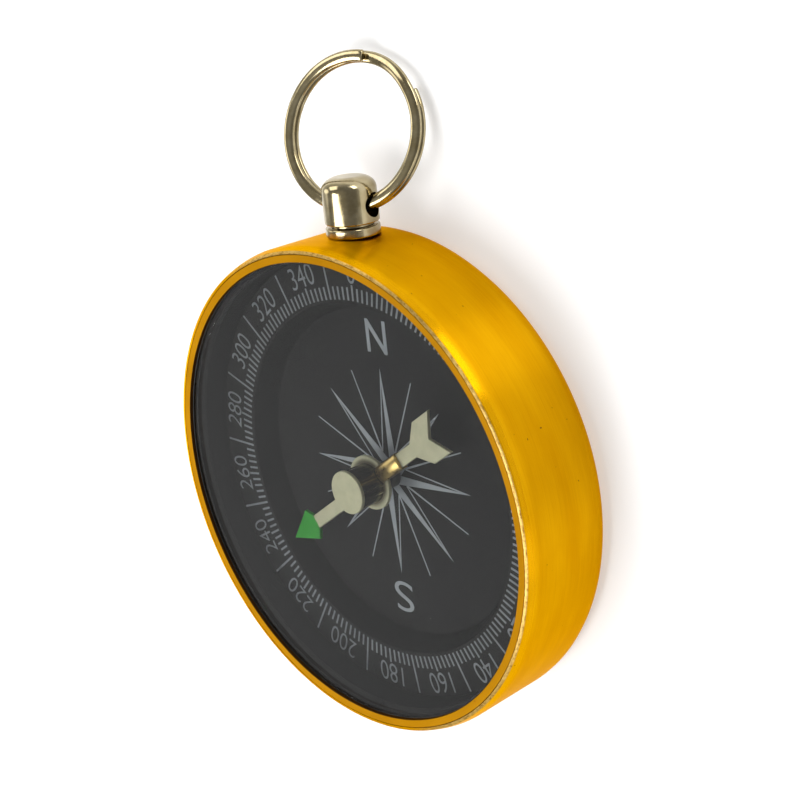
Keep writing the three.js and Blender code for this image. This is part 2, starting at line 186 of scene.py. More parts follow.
# Sleeve on the root of the tail arm
SLEEVE_LENGTH = 3.2
SLEEVE_SIDE_GAP = 0.02
SLEEVE_SIDE = 0.1
SLEEVE_FLOOR = 0.15
SLEEVE_CROWN = 0.36
SLEEVE_ROUND = 0.03
SLEEVE_STEPS = 16
SLEEVE_START = CAP_RADIUS + FIT
SLEEVE_WRAP_START = HUB_RADIUS + FIT
SLEEVE_END = SLEEVE_START + SLEEVE_LENGTH
SLEEVE_BORE_HALF_WIDTH = ARM_HALF_WIDTH + SLEEVE_SIDE_GAP
SLEEVE_HALF_WIDTH = SLEEVE_BORE_HALF_WIDTH + SLEEVE_SIDE

# Pivot
PIN_RADIUS = 0.3
PIN_POINT = 0.9
PIN_TIP_GAP = 0.06
PIN_NOSE_RADIUS = 0.03
PIN_NOSE_HEIGHT = 0.06
PIN_FOOT_ROUND = 0.05
PIN_SHOULDER_ROUND = 0.2
PIN_TIP = JEWEL_BOTTOM + JEWEL_RECESS - PIN_TIP_GAP
BOSS_RADIUS = 1.25
BOSS_HEIGHT = 0.8
BOSS_ROUND = 0.3
BOSS_SHANK_RADIUS = 0.75
BOSS_FOOT_RADIUS = 1.6
BOSS_FOOT_THICKNESS = 0.4
BOSS_BORE = PIN_RADIUS + FIT
BOSS_TOP = DIAL_FLOOR_LEVEL + BOSS_HEIGHT
BOSS_BOTTOM = DIAL_UNDERSIDE - BOSS_FOOT_THICKNESS
DIAL_HOLE_RADIUS = BOSS_SHANK_RADIUS + FIT

# Bow, with places along +Y from the middle of the case
BOW_LEVEL = 4.9
BOW_SWIVEL = 16
STEM_RADIUS = 0.75
STEM_GRIP = 0.4
STEM_END_ROUND = 0.06
RIVET_RADIUS = 1.2
RIVET_THICKNESS = 0.2
RIVET_ROUND = 0.08
WASHER_RADIUS = 1.6
WASHER_THICKNESS = 0.15
WASHER_ROUND = 0.04
WASHER_TOP = math.sqrt(CASE_INNER_RADIUS ** 2 - WASHER_RADIUS ** 2) - FIT
WASHER_BOTTOM = WASHER_TOP - WASHER_THICKNESS
RIVET_BOTTOM = WASHER_BOTTOM - RIVET_THICKNESS
FERRULE_RADIUS = 2.32
FERRULE_THICKNESS = 0.8
FERRULE_ROUND = 0.14
FERRULE_SLEEVE_RADIUS = 1.3
FERRULE_BORE = STEM_RADIUS + FIT
FERRULE_SLEEVE_END = WASHER_TOP + FIT
FERRULE_BOTTOM = CASE_RADIUS + FIT
FERRULE_TOP = FERRULE_BOTTOM + FERRULE_THICKNESS
WALL_HOLE_RADIUS = FERRULE_SLEEVE_RADIUS + FIT
KNOB_RADIUS = 2.33
KNOB_NECK_RADIUS = 1.8
KNOB_NECK_HEIGHT = 0.22
KNOB_FOOT_ROUND = 0.14
KNOB_TOP = 26.99
KNOB_CROWN_RADIUS = 0.9
KNOB_DOME_HEIGHT = 1.07
KNOB_DOME_STEPS = 16
KNOB_FLOOR = 0.25
KNOB_BOTTOM = FERRULE_TOP + FIT
STEM_SOCKET_RADIUS = STEM_RADIUS + FIT
STEM_SOCKET_TOP = KNOB_BOTTOM + STEM_GRIP
STEM_TOP = STEM_SOCKET_TOP - FIT
CROSS_HOLE_RADIUS = 1.0423
CROSS_HOLE_LEVEL = STEM_SOCKET_TOP + KNOB_FLOOR + CROSS_HOLE_RADIUS

# Split ring, whose wire bows up by its rise between the two ends of the cross hole
RING_TILT = -16
RING_RADIUS = 6.2
RING_START = 82
RING_CROSS = 50
RING_STEP = 3
RING_RISE = RING_RADIUS - math.sqrt(RING_RADIUS ** 2 - KNOB_RADIUS ** 2)
RING_OFFSET = RING_RADIUS - RING_RISE / 2
WIRE_WIDTH = 1.02
WIRE_THICKNESS = 0.62
WIRE_SIDES = 28
WIRE_NOSE = 0.15
WIRE_NOSE_STEPS = 4
TURN_PITCH = 0.64

# Where the finishes change on the case, the bezel and the needle, and where painted highlight and painted
# shade lie on them
RUB_AND_SHEEN_SIDE = (0.906, 0.423, 0)
RUB_AND_SHEEN_FADE_START = -3
RUB_AND_SHEEN_FADE_END = 2
SEAM_MARGIN = 0.01
SEAM_BLUR = 0.02
LIP_START = SEAT_RADIUS - SEAM_MARGIN
LIP_LEVEL = 10.06
LIP_BLUR = 0.04
LIP_DULL_LEVEL = 10
LIP_DULLING = 2.1
MOUTH_POLISH = 0.62
MOUTH_POLISH_BLUR = 0.4
EDGE_SHADE_START = 0.02
EDGE_SHADE_END = 0.05
EDGE_SHADE_BLUR = 0.1
GREEN_BLUR = 0.05
GREEN_WANDER = 0.08
HUB_SHADE_START = 0.1
HUB_SHADE_END = 0.45
HUB_SHADE_LEVEL = 0.1

# Colours, as a dark and a light tone where they are uneven
GOLD_TONES = ((0.64, 0.295, 0.001), (0.74, 0.375, 0.003))
GOLD_EDGE_TINT = (0.95, 0.7, 0.35)
GOLD_SPECK = (0.22, 0.09, 0.01)
# Scuff tones on the lip, whose pale tone also stands in for a painted highlight
SCUFF_AND_SHEEN_TONES = ((0.26, 0.12, 0.014), (0.68, 0.46, 0.14))
BEZEL_TONES = ((0.37, 0.175, 0.004), (0.42, 0.205, 0.007))
WINDOW_EDGE_SHADE = (0.07, 0.032, 0.01)
ACRYLIC_TINT = (0.985, 0.99, 0.985)
RUBBER_TONES = ((0.022, 0.022, 0.022), (0.03, 0.03, 0.03))
LACQUER_TONES = ((0.009, 0.009, 0.009), (0.012, 0.012, 0.012))
MOULDING_TONES = ((0.003, 0.003, 0.003), (0.005, 0.005, 0.005))
INK_TONES = ((0.24, 0.265, 0.285), (0.3, 0.325, 0.345))
SCALE_INK_TONES = ((0.17, 0.187, 0.2), (0.22, 0.237, 0.25))
CREAM_TONES = ((0.43, 0.42, 0.275), (0.52, 0.51, 0.335))
GREEN_TONES = ((0.006, 0.22, 0.006), (0.012, 0.31, 0.012))
HUB_SHADE = (0.12, 0.1, 0.055)
BRASS_TONES = ((0.4, 0.28, 0.09), (0.52, 0.38, 0.14))
DULL_BRASS_TONES = ((0.1, 0.1, 0.095), (0.15, 0.15, 0.145))
# Painted reflection on the needle's cap: dark with light streaks
DRUM_REFLECTION_TONES = ((0.08, 0.073, 0.056), (0.32, 0.29, 0.22))
STEEL_TONES = ((0.5, 0.5, 0.51), (0.62, 0.62, 0.63))
NICKEL_TONES = ((0.34, 0.275, 0.145), (0.43, 0.365, 0.225))
JEWEL_TONES = ((0.36, 0.035, 0.07), (0.5, 0.07, 0.12))
PAPER = (0.6, 0.6, 0.6)
WHITE = (1, 1, 1)

# Values between which noise and the sum of two noises mostly lie
NOISE_LOW = 0.3
NOISE_HIGH = 0.7
NOISE_SUM_LOW = 0.7
NOISE_SUM_HIGH = 1.3

# How much finer the grain of paint is than its clouds
PAINT_GRAIN = 14

# Anisotropy that follows turning marks about Z is turned by a quarter
GRAIN_ROTATION = 0.25

# Room, in metres. Grey levels go by height, from the horizon at 0 to straight up at 1.
FLOOR_HALF = 2.5
FLOOR_DROP = 0.00002
FLOOR_ROUGHNESS = 0.9
FLOOR_GLOW = 0.45
PALE_WALL = ((0.0, 0.9), (0.5, 0.35), (0.64, 0.29), (0.78, 0.29), (1.0, 0.45))
DIM_WALL = ((0.0, 0.6), (0.25, 0.24), (0.78, 0.24), (1.0, 0.45))
DIM_SIDE = (0.91, 0.414, 0)
DIM_START = 0.1
DIM_END = 0.7
OPENING_SIDE = (-0.871, 0.1, 0.481)
OPENING_START = 0.955
OPENING_END = 0.985
OPENING_GLOW = (2.8, 2.8, 2.8)

# Camera of the photograph
CAMERA_PLACE = (96.57, 50.19, 89.54)
CAMERA_TURN = (-24.584, 45.467, -8.239)
CAMERA_LENS = 70.1
CAMERA_SENSOR = 36
CAMERA_CLIP = 5


def millimetres(*place):
    """A move to a place."""
    return Matrix.Translation(Vector(place) * MM)


def spin(angle, axis):
    """A turn about an axis."""
    return Matrix.Rotation(math.radians(angle), 4, axis)


def bearing(radius, angle):
    """The plane point at a radius and a bearing."""
    turn = math.radians(angle)
    return (radius * math.sin(turn), radius * math.cos(turn))


def arc_points(radius, start, end, steps):
    """Plane points on an arc about the origin."""
    points = []
    for i in range(steps + 1):
        turn = math.radians(start + (end - start) * i / steps)
        points.append((radius * math.cos(turn), radius * math.sin(turn)))
    return points


def rounded(profile):
    """Profile points, with each corner that gives a radius turned into an arc between short margins."""
    points = []
    for i, corner in enumerate(profile):
        here = Vector(corner[:2])
        if len(corner) == 2:
            points.append(here)
            continue
        back = (Vector(profile[i - 1][:2]) - here).normalized()
        ahead = (Vector(profile[(i + 1) % len(profile)][:2]) - here).normalized()
        half = back.angle(ahead) / 2
        centre = here + (back + ahead).normalized() * (corner[2] / math.sin(half))
        setback = corner[2] / math.tan(half)
        margin = FILLET_MARGIN * corner[2]
        start = here + back * setback - centre
        end = here + ahead * setback - centre
        points.append(here + back * (setback + margin))
        for step in range(FILLET_STEPS + 1):
            points.append(centre + corner[2] * start.slerp(end, step / FILLET_STEPS))
        points.append(here + ahead * (setback + margin))
    return points


def mark_sharp(bm):
    """Shades an edge as sharp where the surface turns hard."""
    limit = math.radians(SHARP_ANGLE)
    for edge in bm.edges:
        edge.smooth = edge.calc_face_angle(0) < limit


def solid(name, bm, matrix=None, smooth=True):
    """An object from a mesh in millimetres, with outward faces and sharp edges where it turns hard."""
    bmesh.ops.scale(bm, vec=(MM, MM, MM), verts=bm.verts)
    bmesh.ops.remove_doubles(bm, verts=bm.verts, dist=SAME_PLACE * MM)
    bmesh.ops.recalc_face_normals(bm, faces=bm.faces)
    for face in bm.faces:
        face.smooth = smooth
    mark_sharp(bm)
    mesh = bpy.data.meshes.new(name)
    bm.to_mesh(mesh)
    bm.free()
    made = bpy.data.objects.new(name, mesh)
    scene.collection.objects.link(made)
    if matrix:
        made.matrix_world = matrix
    return made


def turned(profile, sides, ring=False):
    """A mesh turned about Z from a profile of (radius, level) points."""
    bm = bmesh.new()
    rows = []
    for radius, level in rounded(profile):
        if radius < SAME_PLACE:
            rows.append([bm.verts.new((0, 0, level))] * sides)
            continue
        row = []
        for i in range(sides):
            turn = 2 * math.pi * i / sides
            row.append(bm.verts.new((radius * math.cos(turn), radius * math.sin(turn), level)))
        rows.append(row)
    pairs = list(zip(rows, rows[1:]))
    if ring:
        pairs.append((rows[-1], rows[0]))
    for low, high in pairs:
        for i in range(sides):
            j = (i + 1) % sides
            corners = []
            for vert in (low[i], low[j], high[j], high[i]):
                if vert not in corners:
                    corners.append(vert)
            if len(corners) > 2:
                bm.faces.new(corners)
    return bm


def extrude_outline(bm, outline, low, high):
    """Adds a prism on a plane outline of (x, y) points."""
    bottom = [bm.verts.new((x, y, low)) for x, y in outline]
    top = [bm.verts.new((x, y, high)) for x, y in outline]
    bm.faces.new(bottom[::-1])
    bm.faces.new(top)
    for i, _ in enumerate(outline):
        j = (i + 1) % len(outline)
        bm.faces.new((bottom[i], bottom[j], top[j], top[i]))


def block(name, half_width, near, far, low, high, matrix=None):
    """A plain tool for cutting, as wide to both sides of the Y axis."""
    bm = bmesh.new()
    outline = [(-half_width, near), (half_width, near), (half_width, far), (-half_width, far)]
    extrude_outline(bm, outline, low, high)
    return solid(name, bm, matrix)


def drill(radius, length, matrix):
    """A round tool for cutting, its middle at the matrix and its length along the matrix's Z."""
    half = length / 2
    bm = turned([(0, -half), (radius, -half), (radius, half), (0, half)], SMALL_SIDES)
    return solid("drill", bm, matrix)


def evaluated_mesh(made):
    """The mesh of an object with its modifiers applied."""
    bpy.context.view_layer.update()
    return bpy.data.meshes.new_from_object(made.evaluated_get(bpy.context.evaluated_depsgraph_get()))


def cut(made, *tools):
    """Takes the tools out of an object and deletes them."""
    for tool in tools:
        modifier = made.modifiers.new("cut", "BOOLEAN")
        modifier.operation = "DIFFERENCE"
        modifier.solver = "EXACT"
        modifier.object = tool
    mesh = evaluated_mesh(made)
    made.modifiers.clear()
    made.data = mesh
    for tool in tools:
        bpy.data.objects.remove(tool)
    bm = bmesh.new()
    bm.from_mesh(mesh)
    mark_sharp(bm)
    bm.to_mesh(mesh)
    bm.free()


def curve_mesh(curve):
    """The surface of a curve or of words. The curve is deleted."""
    source = bpy.data.objects.new(curve.name, curve)
    scene.collection.objects.link(source)
    mesh = evaluated_mesh(source)
    bpy.data.objects.remove(source)
    bpy.data.curves.remove(curve)
    return mesh


def add_mesh(bm, mesh, matrix):
    """Adds a mesh moved by a matrix. The mesh itself is deleted."""
    mesh.transform(matrix)
    bm.from_mesh(mesh)
    bpy.data.meshes.remove(mesh)


def plate(name, outlines, low, high, edge, matrix):
    """A flat plate with bevelled edges from plane outlines, the later ones holes in the first."""
    curve = bpy.data.curves.new(name, "CURVE")
    curve.dimensions = "2D"
    curve.fill_mode = "BOTH"
    curve.extrude = (high - low) / 2 - edge
    curve.bevel_depth = edge
    curve.bevel_resolution = BEVEL_STEPS
    curve.offset = -edge
    for outline in outlines:
        line = curve.splines.new("POLY")
        line.points.add(len(outline) - 1)
        for point, (x, y) in zip(line.points, outline):
            point.co = (x, y, 0, 1)
        line.use_cyclic_u = True
    bm = bmesh.new()
    add_mesh(bm, curve_mesh(curve), Matrix.Translation((0, 0, (low + high) / 2)))
    return solid(name, bm, matrix)


def piece(made, body, slot, material, *nodes):
    """Gives a piece its material, the nodes it stands for and the body it rides on. The slot is not used."""
    made.data.materials.clear()
    made.data.materials.append(material)
    if nodes:
        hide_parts(*nodes)
    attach(made, body)


# Nodes for the finishes
def node(tree, kind, inputs=None, **settings):
    """A node with its inputs linked to sockets or set to plain values."""
    made = tree.nodes.new(kind)
    for key, value in settings.items():
        setattr(made, key, value)
    for key, value in (inputs or {}).items():
        if isinstance(value, bpy.types.NodeSocket):
            tree.links.new(value, made.inputs[key])
        else:
            made.inputs[key].default_value = value
    return made


def math_node(tree, operation, first, second):
    return node(tree, "ShaderNodeMath", {0: first, 1: second}, operation=operation).outputs[0]


def vector_node(tree, operation, inputs, output="Vector"):
    return node(tree, "ShaderNodeVectorMath", inputs, operation=operation).outputs[output]


def along_way(tree, place, way):
    """How far a place or a direction reaches along a way."""
    return vector_node(tree, "DOT_PRODUCT", {0: place, 1: way}, "Value")


def local_mm(tree):
    """The piece's own coordinates in millimetres."""
    coordinates = node(tree, "ShaderNodeTexCoord").outputs["Object"]
    return vector_node(tree, "SCALE", {0: coordinates, "Scale": 1 / MM})


def round_axis(tree, place):
    """Radius from the Z axis, level along it and the place laid flat."""
    level = node(tree, "ShaderNodeSeparateXYZ", {0: place}).outputs["Z"]
    flat = vector_node(tree, "MULTIPLY", {0: place, 1: (1, 1, 0)})
    return vector_node(tree, "LENGTH", {0: flat}, "Value"), level, flat


def turned_grain(tree, place, along, across):
    """Coordinates that run slowly round the Z axis and fast along it and away from it."""
    radius, level, flat = round_axis(tree, place)
    unit = vector_node(tree, "NORMALIZE", {0: flat})
    slow = vector_node(tree, "SCALE", {0: unit, "Scale": along})
    rise = math_node(tree, "MULTIPLY", math_node(tree, "ADD", radius, level), across)
    fast = node(tree, "ShaderNodeCombineXYZ", {"Z": rise}).outputs[0]
    return vector_node(tree, "ADD", {0: slow, 1: fast})


def noise(tree, place, scale=1.0, detail=4.0, roughness=0.6):
    inputs = {"Vector": place, "Scale": scale, "Detail": detail, "Roughness": roughness}
    return node(tree, "ShaderNodeTexNoise", inputs).outputs["Fac"]


def spread(tree, value, low, high, to_low=0.0, to_high=1.0):
    """A value moved from one range to another, and held at the ends."""
    inputs = {"Value": value, "From Min": low, "From Max": high, "To Min": to_low, "To Max": to_high}
    return node(tree, "ShaderNodeMapRange", inputs).outputs["Result"]


def fading(tree, value, start, end):
    """One up to the start and nothing past the end."""
    return spread(tree, value, start, end, to_low=1.0, to_high=0.0)


def uneven(tree, value, to_low=0.0, to_high=1.0):
    """Noise spread over a whole range."""
    return spread(tree, value, NOISE_LOW, NOISE_HIGH, to_low, to_high)


def blend(tree, factor, first, second):
    """A mix of two colours, each a plain colour or a socket."""
    inputs = {0: factor}
    for key, colour in ((6, first), (7, second)):
        inputs[key] = (*colour, 1) if isinstance(colour, tuple) else colour
    return node(tree, "ShaderNodeMix", inputs, data_type="RGBA").outputs[2]


def link(tree, value, shader, socket):
    """Feeds a value to a shader's socket."""
    tree.links.new(value, shader.inputs[socket])


def bump(tree, shader, height, depth, strength):
    """Relief of a depth in millimetres."""
    inputs = {"Height": height, "Distance": depth * MM, "Strength": strength}
    link(tree, node(tree, "ShaderNodeBump", inputs).outputs[0], shader, "Normal")


def finish(name, **sockets):
    """A material with one shader, its sockets set to plain values."""
    material = bpy.data.materials.new(name)
    material.use_nodes = True
    shader = material.node_tree.nodes["Principled BSDF"]
    for key, value in sockets.items():
        socket = shader.inputs[key.replace("_", " ")]
        socket.default_value = (*value, 1) if isinstance(value, tuple) else value
    return material, material.node_tree, shader


# Finishes
def outside_seam(tree, radius):
    """One on the case and nothing on the bezel."""
    return spread(tree, radius, LIP_START - SEAM_BLUR, LIP_START)


def rubbed_lip(tree, place, base):
    """The gold's colour with pale and dark scuffs on the lip of the case, kept to the side towards the
    camera: wear and a painted highlight together.
    """
    radius, level, _ = round_axis(tree, place)
    rub = noise(tree, turned_grain(tree, place, along=60.0, across=9.0), roughness=0.75)
    scuff_and_sheen = blend(tree, spread(tree, rub, low=0.32, high=0.56), *SCUFF_AND_SHEEN_TONES)
    top = spread(tree, level, LIP_LEVEL, LIP_LEVEL + LIP_BLUR)
    lip = math_node(tree, "MULTIPLY", outside_seam(tree, radius), top)
    # Painted highlight: the pale scuffs show only on the side towards the camera.
    side = spread(tree, along_way(tree, place, RUB_AND_SHEEN_SIDE), RUB_AND_SHEEN_FADE_START, RUB_AND_SHEEN_FADE_END)
    return blend(tree, math_node(tree, "MULTIPLY", lip, side), base, scuff_and_sheen)


def shaded_edge(tree, place, base):
    """The gold's colour with painted shade where the bezel turns down to the window."""
    radius, level, _ = round_axis(tree, place)
    inner = fading(tree, radius, WINDOW_RADIUS + EDGE_SHADE_START, WINDOW_RADIUS + EDGE_SHADE_END)
    above = spread(tree, level, SEAT_LEVEL - EDGE_SHADE_BLUR, SEAT_LEVEL)
    return blend(tree, math_node(tree, "MULTIPLY", inner, above), base, WINDOW_EDGE_SHADE)


def mouth_polish(tree, place):
    """A factor on the roughness, low where the case's mouth draws in and high on its rubbed lip."""
    radius, level, _ = round_axis(tree, place)
    start = MOUTH_BEND_LEVEL - MOUTH_POLISH_BLUR
    polish = spread(tree, level, start, MOUTH_BEND_LEVEL + MOUTH_POLISH_BLUR, 1.0, MOUTH_POLISH)
    dull = spread(tree, level, LIP_DULL_LEVEL, LIP_LEVEL + LIP_BLUR, 1.0, LIP_DULLING)
    worked = math_node(tree, "MULTIPLY", polish, dull)
    return math_node(tree, "POWER", worked, outside_seam(tree, radius))


def gold_finish(name, tones, stretch, roughness):
    """Gold anodised aluminium with a turned satin grain and a few dark specks."""
    material, tree, shader = finish(
        name,
        Metallic=1.0,
        Anisotropic=stretch,
        Anisotropic_Rotation=GRAIN_ROTATION,
        Specular_Tint=GOLD_EDGE_TINT,
    )
    place = local_mm(tree)
    fine = noise(tree, turned_grain(tree, place, along=3.0, across=14.0), detail=5.0, roughness=0.7)
    broad = noise(tree, turned_grain(tree, place, along=2.2, across=0.5), detail=3.0)
    cloud = noise(tree, place, scale=0.16, detail=3.0)
    base = blend(tree, spread(tree, math_node(tree, "ADD", fine, broad), low=0.75, high=1.25), *tones)
    speck = spread(tree, noise(tree, place, scale=1.9, detail=1.0), low=0.785, high=0.81)
    base = blend(tree, speck, base, GOLD_SPECK)
    # Scuffs with a painted highlight on the lip, then painted shade at the window's edge.
    base = rubbed_lip(tree, place, base)
    link(tree, shaded_edge(tree, place, base), shader, "Base Color")
    mixed = math_node(tree, "ADD", fine, cloud)
    grain = spread(tree, mixed, NOISE_SUM_LOW, NOISE_SUM_HIGH, 0.9 * roughness, 1.1 * roughness)
    link(tree, math_node(tree, "MULTIPLY", grain, mouth_polish(tree, place)), shader, "Roughness")
    tangent = node(tree, "ShaderNodeTangent", direction_type="RADIAL", axis="Z")
    link(tree, tangent.outputs[0], shader, "Tangent")
    bump(tree, shader, fine, depth=0.006, strength=0.5)
    return material


def metal_finish(name, tones, roughness, relief=0.004):
    """Plated or turned metal with fine turning marks and a little tarnish."""
    material, tree, shader = finish(name, Metallic=1.0)
    place = local_mm(tree)
    fine = noise(tree, turned_grain(tree, place, along=4.0, across=16.0), roughness=0.65)
    cloud = noise(tree, place, scale=0.9)
    link(tree, blend(tree, spread(tree, cloud, low=0.35, high=0.65), *tones), shader, "Base Color")
    mixed = math_node(tree, "ADD", fine, cloud)
    grain = spread(tree, mixed, NOISE_SUM_LOW, NOISE_SUM_HIGH, 0.75 * roughness, 1.3 * roughness)
    link(tree, grain, shader, "Roughness")
    bump(tree, shader, fine, relief, strength=0.5)
    return material


def drum_finish():
    """Polished brass with a painted reflection: its colour is painted dark, as the dark dial it mirrors, with
    light streaks along the axis.
    """
    material, tree, shader = finish("dark_brass", Metallic=1.0)
    streaks = noise(tree, turned_grain(tree, local_mm(tree), along=9.0, across=0.15), detail=3.0)
    # Painted reflection: the streaks make the colour dark and light along the axis, and they also vary the
    # roughness and relief.
    tone = spread(tree, streaks, low=0.4, high=0.62)
    link(tree, blend(tree, tone, *DRUM_REFLECTION_TONES), shader, "Base Color")
    link(tree, uneven(tree, streaks, to_low=0.16, to_high=0.3), shader, "Roughness")
    bump(tree, shader, streaks, depth=0.02, strength=0.5)
    return material


def paint_finish(name, tones, roughness, scale, relief=0.01, gloss=0.5):
    """Paint, lacquer, ink, rubber or moulding with a slight grain and uneven tone."""
    material, tree, shader = finish(name, Specular_IOR_Level=gloss)
    place = local_mm(tree)
    cloud = noise(tree, place, scale)
    fine = noise(tree, place, scale * PAINT_GRAIN, detail=3.0)
    link(tree, blend(tree, uneven(tree, cloud), *tones), shader, "Base Color")
    grain = uneven(tree, fine, to_low=0.85 * roughness, to_high=1.15 * roughness)
    link(tree, grain, shader, "Roughness")
    bump(tree, shader, fine, relief, strength=0.6)
    return material


def needle_finish():
    """Cream paint, green from the root of the arrow head to its tip, and painted shade round the foot of the
    cap.
    """
    material, tree, shader = finish("needle_paint", Specular_IOR_Level=0.2)
    place = local_mm(tree)
    along = node(tree, "ShaderNodeSeparateXYZ", {0: place}).outputs["X"]
    radius, level, _ = round_axis(tree, place)
    cloud = noise(tree, place, scale=0.8)
    fine = noise(tree, place, scale=9.0, detail=3.0)
    cream = blend(tree, uneven(tree, cloud), *CREAM_TONES)
    green = blend(tree, uneven(tree, cloud), *GREEN_TONES)
    ragged = math_node(tree, "ADD", along, uneven(tree, fine, -GREEN_WANDER, GREEN_WANDER))
    head = spread(tree, ragged, ARROW_ROOT - GREEN_BLUR, ARROW_ROOT + GREEN_BLUR)
    base = blend(tree, head, cream, green)
    # Painted shade: the cream darkened round the foot of the cap, where the cap shades the hub.
    close = fading(tree, radius, CAP_RADIUS + HUB_SHADE_START, CAP_RADIUS + HUB_SHADE_END)
    blade = fading(tree, level, BLADE_TOP + HUB_SHADE_LEVEL, BLADE_TOP + 2 * HUB_SHADE_LEVEL)
    base = blend(tree, math_node(tree, "MULTIPLY", close, blade), base, HUB_SHADE)
    link(tree, base, shader, "Base Color")
    link(tree, uneven(tree, fine, to_low=0.38, to_high=0.55), shader, "Roughness")
    bump(tree, shader, fine, depth=0.008, strength=0.5)
    return material


def crystal_finish():
    """Clear acrylic with faint polishing marks."""
    material, tree, shader = finish("acrylic", Base_Color=ACRYLIC_TINT, Transmission_Weight=1.0, IOR=1.49)
    marks = noise(tree, local_mm(tree), scale=0.3)
    link(tree, spread(tree, marks, 0.4, 0.8, to_low=0.0, to_high=0.02), shader, "Roughness")
    return material


def jewel_finish():
    """Dark red bearing stone with faint clouds."""
    material, tree, shader = finish("jewel_glass", Transmission_Weight=0.4, IOR=1.76)
    cloud = noise(tree, local_mm(tree), scale=3.0, detail=3.0)
    link(tree, blend(tree, uneven(tree, cloud), *JEWEL_TONES), shader, "Base Color")
    link(tree, uneven(tree, cloud, to_low=0.04, to_high=0.1), shader, "Roughness")
    return material


gold_case = gold_finish("gold_case", GOLD_TONES, stretch=0.9, roughness=0.39)
gold_bezel = gold_finish("gold_bezel", BEZEL_TONES, stretch=0.2, roughness=0.7)
acrylic = crystal_finish()
rubber = paint_finish("gasket_rubber", RUBBER_TONES, roughness=0.24, scale=0.7, relief=0.001, gloss=0.2)
lacquer = paint_finish("dial_lacquer", LACQUER_TONES, roughness=0.7, scale=0.25, relief=0.004, gloss=0.1)
moulding = paint_finish(
    "spacer_moulding", MOULDING_TONES, roughness=0.6, scale=0.5, relief=0.002, gloss=0.05
)
ink = paint_finish("dial_ink", INK_TONES, roughness=0.55, scale=0.6)
scale_ink = paint_finish("scale_ink", SCALE_INK_TONES, roughness=0.55, scale=0.6)
needle_paint = needle_finish()
brass = metal_finish("brass", BRASS_TONES, roughness=0.3, relief=0.001)
dull_brass = metal_finish("dull_brass", DULL_BRASS_TONES, roughness=0.45, relief=0.001)
dark_brass = drum_finish()
steel = metal_finish("steel", STEEL_TONES, roughness=0.24)
nickel = metal_finish("nickel", NICKEL_TONES, roughness=0.14)
jewel_glass = jewel_finish()

# Places that several pieces share
along_y = spin(-90, "X")
needle_turn = spin(90 - NEEDLE_BEARING, "Z")
bow_place = millimetres(0, 0, BOW_LEVEL)
knob_place = bow_place @ spin(BOW_SWIVEL, "Y")
cross_hole_place = knob_place @ millimetres(0, CROSS_HOLE_LEVEL, 0)

# Case
cup = solid("case_shell", turned([
    (0, 0),
    (CASE_RADIUS, 0, BACK_CORNER),
    (CASE_RADIUS, MOUTH_BEND_LEVEL, MOUTH_BEND),
    (CASE_RADIUS - MOUTH_DRAW, CASE_HEIGHT, LIP_ROUND),
    (SEAT_RADIUS, BEZEL_LEVEL),
    (SEAT_RADIUS, SEAT_LEVEL),
    (CASE_INNER_RADIUS, SEAT_LEVEL),
    (CASE_INNER_RADIUS, BACK_THICKNESS, INNER_CORNER),
    (0, BACK_THICKNESS),
], WIDE_SIDES))
middle_of_wall = bow_place @ millimetres(0, CASE_RADIUS - CASE_WALL / 2, 0)
cut(cup, drill(WALL_HOLE_RADIUS, 3 * CASE_WALL, middle_of_wall @ along_y))
piece(cup, "case", "gold_case", gold_case, "case_cup")

bezel = solid("bezel", turned([
    (WINDOW_RADIUS, CRYSTAL_TOP),
    (CASE_INNER_RADIUS, CRYSTAL_TOP),
    (CASE_INNER_RADIUS, SEAT_LEVEL),
    (BEZEL_RADIUS, SEAT_LEVEL),
    (BEZEL_RADIUS, BEZEL_LEVEL, BEZEL_ROUND),
    (WINDOW_RADIUS, WINDOW_EDGE_LEVEL, WINDOW_EDGE_ROUND),
], WIDE_SIDES, ring=True))
piece(bezel, "case", "gold_bezel", gold_bezel, "bezel_ring")

window = solid("window", turned([
    (0, CRYSTAL_BOTTOM),
    (CRYSTAL_RADIUS, CRYSTAL_BOTTOM, CRYSTAL_ROUND),
    (CRYSTAL_RADIUS, CRYSTAL_TOP, CRYSTAL_ROUND),
    (0, CRYSTAL_TOP),
], WIDE_SIDES))
piece(window, "case", "crystal", acrylic, "crystal")

gasket = solid("gasket", turned([
    (GASKET_LEDGE_RADIUS, SPACER_TOP, GASKET_ROUND),
    (GASKET_RADIUS, SPACER_TOP),
    (GASKET_RADIUS, CRYSTAL_TOP),
    (GASKET_WALL_RADIUS, CRYSTAL_TOP, GASKET_ROUND),
    (GASKET_WALL_RADIUS, GASKET_LEDGE_TOP),
    (GASKET_LEDGE_RADIUS, GASKET_LEDGE_TOP, GASKET_ROUND),
], WIDE_SIDES, ring=True))
piece(gasket, "case", "gasket", rubber, "lens_gasket")

# Dial, spacer and pivot
step_slope = math.atan2(SCALE_LEVEL - DIAL_FLOOR_LEVEL, DIAL_STEP_RUN)
under_step = DIAL_THICKNESS * math.tan(step_slope / 2)
dial = solid("dial_plate", turned([
    (DIAL_HOLE_RADIUS, DIAL_UNDERSIDE),
    (DIAL_FLOOR_RADIUS + under_step, DIAL_UNDERSIDE),
    (SCALE_INNER_RADIUS + under_step, SCALE_UNDERSIDE),
    (DIAL_RADIUS, SCALE_UNDERSIDE),
    (DIAL_RADIUS, SCALE_LEVEL),
    (SCALE_INNER_RADIUS, SCALE_LEVEL, DIAL_BEND),
    (DIAL_FLOOR_RADIUS, DIAL_FLOOR_LEVEL, DIAL_BEND),
    (DIAL_HOLE_RADIUS, DIAL_FLOOR_LEVEL),
], WIDE_SIDES, ring=True))
piece(dial, "case", "dial", lacquer, "dial_pan")

